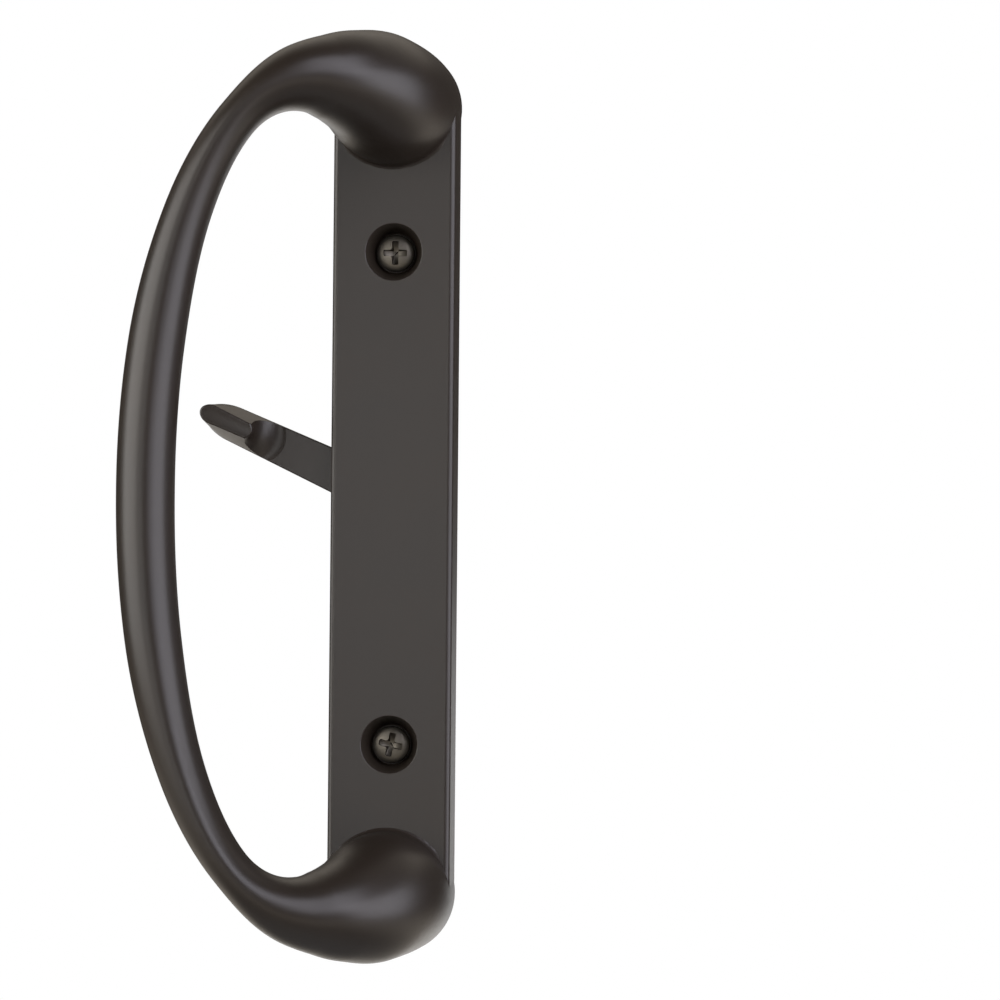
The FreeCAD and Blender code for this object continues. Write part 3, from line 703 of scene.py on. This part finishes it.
# Screw as rings along its axis: an elliptical dome, the head's edge, the neck, and a thread whose
# radius is root + depth * ridge, the ridge a clipped triangle wave of (run / pitch + turn / 2 pi).
def screwRings(screw, z, columns=32):
    head, edge, height = screw["headRadius"], screw["headEdge"], screw["headHeight"]
    neck, neckEnd, length = screw["neckRadius"], screw["neckLength"], screw["length"]
    domeEase, edgeEase, seatEase = screwForm["ease"]
    out = np.sin(np.linspace(0, np.pi / 2, 18)) * (head - domeEase)
    domeRise = edge + (height - edge) * np.sqrt(1 - (out / head) ** 2)
    radius = np.concatenate([out, [head, head, head - seatEase, neck, neck]])
    rise = np.concatenate([domeRise, [edge - edgeEase, seatEase, 0, 0, -neckEnd]])
    run = np.arange(neckEnd, length, screw["pitch"] / screwForm["pitchRows"])
    run = np.append(run, length)
    turn = np.linspace(0, 2 * np.pi, columns, endpoint=False)
    wave = (run[:, None] / screw["pitch"] + turn / (2 * np.pi)) % 1
    crestSlope, crestDepth = screwForm["crest"]
    ridge = np.clip(crestSlope * (1 - np.abs(2 * wave - 1)) - crestDepth, 0, 1)
    begun = np.clip((run - neckEnd) / screw["pitch"], 0, 1)[:, None]
    thread = screw["rootRadius"] + (screw["threadRadius"] - screw["rootRadius"]) * ridge * begun
    left = (length - run)[:, None]
    thread = np.minimum(thread, screw["threadRadius"] - screw["point"] / 2 + left / 2)
    radius = np.concatenate([np.repeat(radius[:, None], columns, axis=1), thread])
    rise = np.concatenate([rise, -run])
    offDoor = screw["seat"] + screw["facing"] * rise
    return np.stack([
        radius * np.cos(turn),
        -np.repeat(offDoor[:, None], columns, axis=1),
        z + radius * np.sin(turn),
    ], axis=-1)


# Cross recess: four arms with eased corners, a ring of 28 points turned about the screw's axis,
# narrowing as it goes down into the head.
def crossRings(screw, z, turned):
    levels = [(-screwForm["crossStart"], 1.0)]
    levels += [(down * screw["crossDepth"], share) for down, share in screwForm["crossSteps"]]
    kept, lost = screwForm["crossKept"]
    (cornerEase, cornerIn), (tipIn, tipHalf) = screwForm["crossEase"], screwForm["crossTip"]
    rings = []
    for depth, share in levels:
        half, reach = screw["crossHalf"] * (kept + lost * share), screw["crossReach"] * share
        ease = half * cornerEase
        inner = half + cornerIn * ease
        arm = np.array([
            reach - tipIn * half - 1j * half, reach - 1j * tipHalf * half,
            reach + 1j * tipHalf * half, reach - tipIn * half + 1j * half,
            half + ease + 1j * half, inner + 1j * inner, half + 1j * (half + ease),
        ])
        outline = np.concatenate([arm * 1j ** k for k in range(4)])
        outline = outline * np.exp(1j * np.radians(turned))
        offDoor = screw["seat"] + screw["facing"] * (screw["headHeight"] - depth)
        rings.append(np.stack([
            outline.real, np.full(len(outline), -offDoor), z + outline.imag], axis=-1))
    return np.array(rings)


# Two alike screws in one piece, each driven to its own angle.
def makeScrews(screw, name, node, material):
    made = []
    for side, turned in zip((1, -1), screw["driven"]):
        z = side * screw["spacing"] / 2
        one = makeShell("screw", screwRings(screw, z))
        combine(one, makeShell("cross", crossRings(screw, z, turned)), "DIFFERENCE")
        made.append(one)
    piece, other = made
    both = bmesh.new()
    both.from_mesh(piece.data)
    both.from_mesh(other.data)
    both.to_mesh(piece.data)
    both.free()
    bpy.data.objects.remove(other)
    return finishPiece(piece, name, "handle", node, material)


makePullHandle()
makeLatchLever()
makeTailpiece()
makeSpringWasher()
makeRetainerPlate()
makeScrews(mountingScrew, "mountingScrews", "mounting_screws", blackSteel)
makeScrews(retainerScrew, "retainerScrews", "retainer_screws", platedSteel)


# Camera of the picture: a long lens a little to the right and from below, with a slight roll, and
# the plate's middle left of the picture's middle.
picture = {
    "pixels": 1000, "focal": 5916.0, "distance": 1200.0, "azimuth": 7.0, "elevation": -2.05,
    "roll": 0.55, "middle": (391.25, 497.85), "sensor": 36.0, "clip": (0.05, 50),
}


def makeCamera():
    azimuth, elevation = np.radians(picture["azimuth"]), np.radians(picture["elevation"])
    back = Vector((
        np.sin(azimuth) * np.cos(elevation),
        -np.cos(azimuth) * np.cos(elevation),
        np.sin(elevation),
    ))
    seen = Vector((0, -plate["depth"] * mm, 0))
    turn = (-back).to_track_quat("-Z", "Y")
    turn = turn @ Quaternion((0, 0, 1), np.radians(picture["roll"]))
    half = picture["pixels"] / 2
    across, down = picture["middle"][0] - half, picture["middle"][1] - half
    aim = Vector((0, 0, -1)).rotation_difference(Vector((across, -down, -picture["focal"])))
    lens = bpy.data.cameras.new("camera")
    lens.sensor_width = picture["sensor"]
    lens.lens = picture["focal"] / picture["pixels"] * picture["sensor"]
    lens.clip_start, lens.clip_end = picture["clip"]
    camera = bpy.data.objects.new("camera", lens)
    bpy.context.scene.collection.objects.link(camera)
    camera.location = seen + back * picture["distance"] * mm
    camera.rotation_mode = "QUATERNION"
    camera.rotation_quaternion = turn @ aim.inverted()
    bpy.context.scene.camera = camera


studio = {
    "floorHeight": -1.5, "floorRadius": 4.5, "floorColour": "#f2f1ee",
    "floorFade": (0.75, 0.4), "floorPale": 0.7,
    "ambient": 0.02, "dimGlow": 0.06, "bounceColour": "#f0e6d8",
    # where the white of reflections sets in, as parts of a ray's direction
    "above": (0.34, 0.58), "below": (-0.08, -0.40), "rear": (0.10, 0.70),
    "aim": (-0.02, -0.02, 0),
    "lamps": (  # name, place, size, watts, colour
        ("rightBox", (1.08, -0.24, 0.05), (1.0, 0.8), 8.4, "#f6f5ff"),
        ("highBox", (0.72, -0.75, 0.58), (0.55, 1.2), 8.4, "#f4f3ff"),
        ("leftBox", (-0.95, -0.55, 0.20), (1.5, 0.8), 15.5, "#fffcf8"),
        ("frontBox", (-0.20, -1.35, 0.05), (0.6, 0.36), 2.0, "#ffffff"),
        ("backBox", (0.00, 1.30, -0.30), (1.0, 0.6), 2.2, "#ffffff"),
    ),
}


# Soft boxes aimed at the middle of the handle.
def makeLamps():
    for name, place, size, watts, colour in studio["lamps"]:
        light = bpy.data.lights.new(name, "AREA")
        light.shape, light.size, light.size_y = "RECTANGLE", size[0], size[1]
        light.energy, light.color = watts, linearColour(colour)[:3]
        lamp = bpy.data.objects.new(name, light)
        bpy.context.scene.collection.objects.link(lamp)
        lamp.location = place
        lamp.rotation_mode = "QUATERNION"
        facing = Vector(studio["aim"]) - Vector(place)
        lamp.rotation_quaternion = facing.to_track_quat("-Z", "Y")


# One reckoning with two sockets.
def addMath(tree, operation, first, second):
    node = addNode(tree, "ShaderNodeMath", links={0: first, 1: second}, operation=operation)
    return node.outputs[0]


# Smooth step of a socket's value over a band.
def addStep(tree, value, band):
    node = addNode(
        tree, "ShaderNodeMapRange", {"From Min": band[0], "From Max": band[1]}, {"Value": value},
        interpolation_type="SMOOTHSTEP")
    return node.outputs[0]


# Sockets that tell rays apart: from the camera, by way of a reflection or glass, and the white
# that each sees, which is warm in reflections.
def addRays(tree):
    path = addNode(tree, "ShaderNodeLightPath").outputs
    mirrored = addMath(tree, "MAXIMUM", path["Is Glossy Ray"], path["Is Transmission Ray"])
    white = addNode(
        tree, "ShaderNodeMix", {6: linearColour(studio["bounceColour"]), 7: (1, 1, 1, 1)},
        {0: path["Is Camera Ray"]}, data_type="RGBA")
    return path["Is Camera Ray"], mirrored, white.outputs[2]


# White to the camera. Reflections see white behind the handle, above and below its level, and a
# dim room elsewhere. All other rays meet a faint even light.
def makeWorld():
    world = bpy.data.worlds.new("studio")
    world.use_nodes = True
    tree = world.node_tree
    tree.nodes.clear()
    camera, mirrored, white = addRays(tree)
    place = addNode(tree, "ShaderNodeTexCoord")
    axes = addNode(tree, "ShaderNodeSeparateXYZ", links={0: place.outputs["Generated"]}).outputs
    above = addStep(tree, axes["Z"], studio["above"])
    below = addStep(tree, axes["Z"], studio["below"])
    rear = addStep(tree, axes["Y"], studio["rear"])
    backdrop = addMath(tree, "MULTIPLY", addMath(tree, "MAXIMUM", above, below), rear)
    behind = addNode(
        tree, "ShaderNodeMapRange", {"To Min": studio["dimGlow"], "To Max": 1.0},
        {"Value": backdrop})
    level = addNode(
        tree, "ShaderNodeMix", {2: studio["ambient"]}, {0: mirrored, 3: behind.outputs[0]})
    strength = addNode(tree, "ShaderNodeMix", {3: 1.0}, {0: camera, 2: level.outputs[0]})
    light = addNode(
        tree, "ShaderNodeBackground", links={"Color": white, "Strength": strength.outputs[0]})
    addNode(tree, "ShaderNodeOutputWorld", links={"Surface": light.outputs[0]})
    bpy.context.scene.world = world


# Pale disc under the handle. To the camera and in reflections it fades to white away from its
# middle, so it has no edge, and to the camera it is pale all over.
def makeFloor():
    turn = np.linspace(0, 2 * np.pi, 96, endpoint=False)
    radius = studio["floorRadius"]
    points = np.stack([
        radius * np.cos(turn), radius * np.sin(turn), np.full_like(turn, studio["floorHeight"]),
    ], axis=-1)
    mesh = bpy.data.meshes.new("floor")
    mesh.from_pydata(points.tolist(), [], [list(range(len(turn)))])
    material, tree = newMaterial("paleFloor")
    place = addNode(tree, "ShaderNodeTexCoord")
    spread = addNode(
        tree, "ShaderNodeMapping", {"Scale": (1 / radius, 1 / radius, 0)},
        {"Vector": place.outputs["Object"]})
    middle = addNode(
        tree, "ShaderNodeTexGradient", links={"Vector": spread.outputs[0]},
        gradient_type="SPHERICAL")
    matte = addNode(tree, "ShaderNodeBsdfDiffuse", {"Color": linearColour(studio["floorColour"])})
    camera, mirrored, white = addRays(tree)
    glow = addNode(tree, "ShaderNodeEmission", {"Strength": 1.0}, {"Color": white})
    fade = addStep(tree, middle.outputs[0], studio["floorFade"])
    faded = addMath(tree, "MULTIPLY", fade, addMath(tree, "MAXIMUM", mirrored, camera))
    pale = addNode(
        tree, "ShaderNodeMath", {1: studio["floorPale"]}, {0: camera}, operation="MULTIPLY")
    shown = addMath(tree, "MAXIMUM", faded, pale.outputs[0])
    surface = addNode(
        tree, "ShaderNodeMixShader", links={0: shown, 1: matte.outputs[0], 2: glow.outputs[0]})
    addNode(tree, "ShaderNodeOutputMaterial", links={"Surface": surface.outputs[0]})
    mesh.materials.append(material)
    floor = bpy.data.objects.new("floor", mesh)
    bpy.context.scene.collection.objects.link(floor)


makeCamera()
makeLamps()
makeWorld()
makeFloor()
bpy.context.scene.view_settings.view_transform = "Standard"
print("studio ready")
